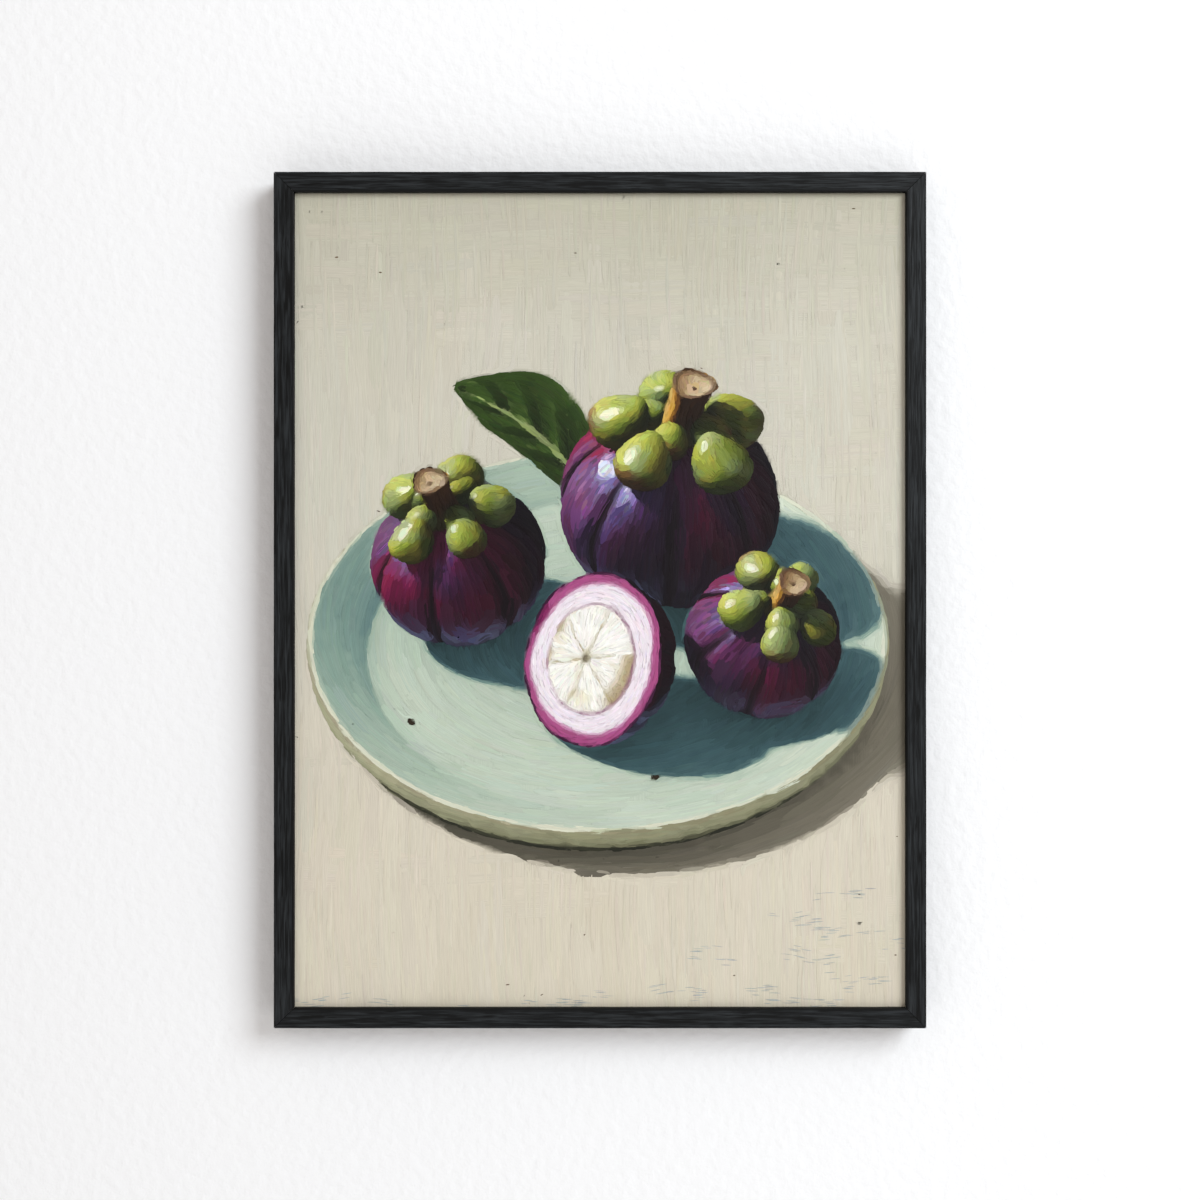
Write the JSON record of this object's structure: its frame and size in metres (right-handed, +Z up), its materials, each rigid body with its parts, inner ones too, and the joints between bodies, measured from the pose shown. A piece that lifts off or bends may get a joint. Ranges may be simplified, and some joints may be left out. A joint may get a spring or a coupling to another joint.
{
  "type": "framed picture",
  "caption": "Tall picture in a thin black wood-grain frame: a painted fruit still life on a panel, closed at the back by a board under swivelling turn buttons.",
  "frame": {"origin": "top of the middle notch of the sawtooth hanger, where the nail in the wall bears; the wall face is the plane y = 0.0017 m", "axes": "+Z up, +X to the right as the picture is looked at, -Y the way the picture faces and +Y into the wall"},
  "size_m": [0.48, 0.029, 0.63],
  "materials": {
    "black_stained_oak": "oak stained black, open grain, satin lacquer",
    "painted_panel": "oil paint with raised brush marks on a primed wood-fibre panel",
    "hardboard": "tempered hardboard, smooth side out",
    "planed_pine": "planed pine strip, unfinished",
    "brass_plated_steel": "brass-plated pressed steel, lightly dulled",
    "zinc_plated_steel": "zinc-plated spring steel",
    "black_rubber": "matt moulded rubber"
  },
  "bodies": {
    "picture_frame": {"backing_board": "hardboard", "button_screw_bottom_left": "brass_plated_steel", "button_screw_bottom_right": "brass_plated_steel", "button_screw_left_lower": "brass_plated_steel", "button_screw_left_upper": "brass_plated_steel", "button_screw_right_lower": "brass_plated_steel", "button_screw_right_upper": "brass_plated_steel", "button_screw_top_left": "brass_plated_steel", "button_screw_top_right": "brass_plated_steel", "corner_wedge_lower_left": "zinc_plated_steel", "corner_wedge_lower_right": "zinc_plated_steel", "corner_wedge_upper_left": "zinc_plated_steel", "corner_wedge_upper_right": "zinc_plated_steel", "hanger_nail_left": "zinc_plated_steel", "hanger_nail_right": "zinc_plated_steel", "picture_panel": "painted_panel", "rail_bottom": "black_stained_oak", "rail_top": "black_stained_oak", "sawtooth_hanger": "zinc_plated_steel", "spacer_bottom": "planed_pine", "spacer_left": "planed_pine", "spacer_right": "planed_pine", "spacer_top": "planed_pine", "stile_left": "black_stained_oak", "stile_right": "black_stained_oak", "wall_pad_lower_left": "black_rubber", "wall_pad_lower_right": "black_rubber", "wall_pad_upper_left": "black_rubber", "wall_pad_upper_right": "black_rubber"},
    "button_top_left": {"turn_button_top_left": "brass_plated_steel"},
    "button_top_right": {"turn_button_top_right": "brass_plated_steel"},
    "button_bottom_left": {"turn_button_bottom_left": "brass_plated_steel"},
    "button_bottom_right": {"turn_button_bottom_right": "brass_plated_steel"},
    "button_left_upper": {"turn_button_left_upper": "brass_plated_steel"},
    "button_left_lower": {"turn_button_left_lower": "brass_plated_steel"},
    "button_right_upper": {"turn_button_right_upper": "brass_plated_steel"},
    "button_right_lower": {"turn_button_right_lower": "brass_plated_steel"}
  },
  "joints": [
    {"name": "top_left_button_swivel", "type": "hinge", "parent": "picture_frame", "child": "button_top_left", "pos_m": [-0.12, -0.0014, 0.002], "axis": [0, 1, 0], "continuous": true},
    {"name": "top_right_button_swivel", "type": "hinge", "parent": "picture_frame", "child": "button_top_right", "pos_m": [0.12, -0.0014, 0.002], "axis": [0, 1, 0], "continuous": true},
    {"name": "bottom_left_button_swivel", "type": "hinge", "parent": "picture_frame", "child": "button_bottom_left", "pos_m": [-0.12, -0.0014, -0.618], "axis": [0, 1, 0], "continuous": true},
    {"name": "bottom_right_button_swivel", "type": "hinge", "parent": "picture_frame", "child": "button_bottom_right", "pos_m": [0.12, -0.0014, -0.618], "axis": [0, 1, 0], "continuous": true},
    {"name": "left_upper_button_swivel", "type": "hinge", "parent": "picture_frame", "child": "button_left_upper", "pos_m": [-0.235, -0.0014, -0.188], "axis": [0, 1, 0], "continuous": true},
    {"name": "left_lower_button_swivel", "type": "hinge", "parent": "picture_frame", "child": "button_left_lower", "pos_m": [-0.235, -0.0014, -0.428], "axis": [0, 1, 0], "continuous": true},
    {"name": "right_upper_button_swivel", "type": "hinge", "parent": "picture_frame", "child": "button_right_upper", "pos_m": [0.235, -0.0014, -0.188], "axis": [0, 1, 0], "continuous": true},
    {"name": "right_lower_button_swivel", "type": "hinge", "parent": "picture_frame", "child": "button_right_lower", "pos_m": [0.235, -0.0014, -0.428], "axis": [0, 1, 0], "continuous": true}
  ]
}
